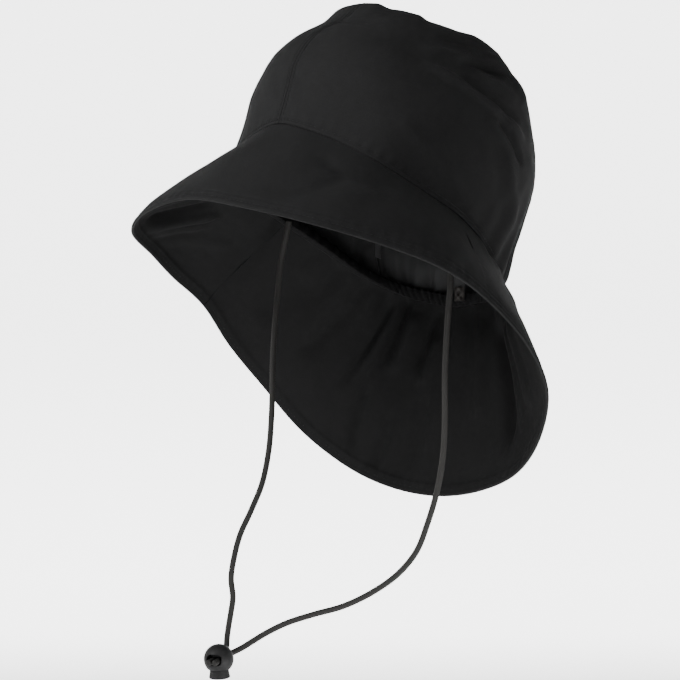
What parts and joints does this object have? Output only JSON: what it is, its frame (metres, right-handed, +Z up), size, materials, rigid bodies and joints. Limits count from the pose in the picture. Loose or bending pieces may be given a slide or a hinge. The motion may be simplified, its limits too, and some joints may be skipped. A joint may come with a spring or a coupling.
{
  "type": "rain hat",
  "caption": "Black woven rain hat with a deep soft crown, a short stitched front brim, a long neck flap and a chin cord that ends in a spring cord lock.",
  "frame": {"origin": "centre of the head opening, where the crown meets the brim", "axes": "+Z is up against gravity, -Y is where the wearer looks and +X is the wearer's left, with the head opening tipped back 36 degrees about X, as worn in the picture"},
  "size_m": [0.271, 0.2658, 0.4212],
  "materials": {
    "shell": "matte fine woven",
    "inside": "matte tape",
    "elastic": "matte gathered",
    "label": "satin woven",
    "cord": "matte braided",
    "plastic": "satin"
  },
  "bodies": {
    "hat": {"crown_left": "shell", "crown_right": "shell", "crown_back": "shell", "front_brim": "shell", "neck_flap": "shell", "sweatband": "elastic", "seam_tape_left": "inside", "seam_tape_right": "inside", "label": "label", "chin_cord_left": "cord", "chin_cord_right": "cord", "cord_lock_body": "plastic"},
    "plunger": {"cord_lock_plunger": "plastic"}
  },
  "joints": [
    {"name": "plunger_slide", "type": "slide", "parent": "hat", "child": "plunger", "axis": [0.0621, -0.1197, 0.9909], "range_m": [0, 0.0022], "stiffness_N_per_m": 1500}
  ]
}
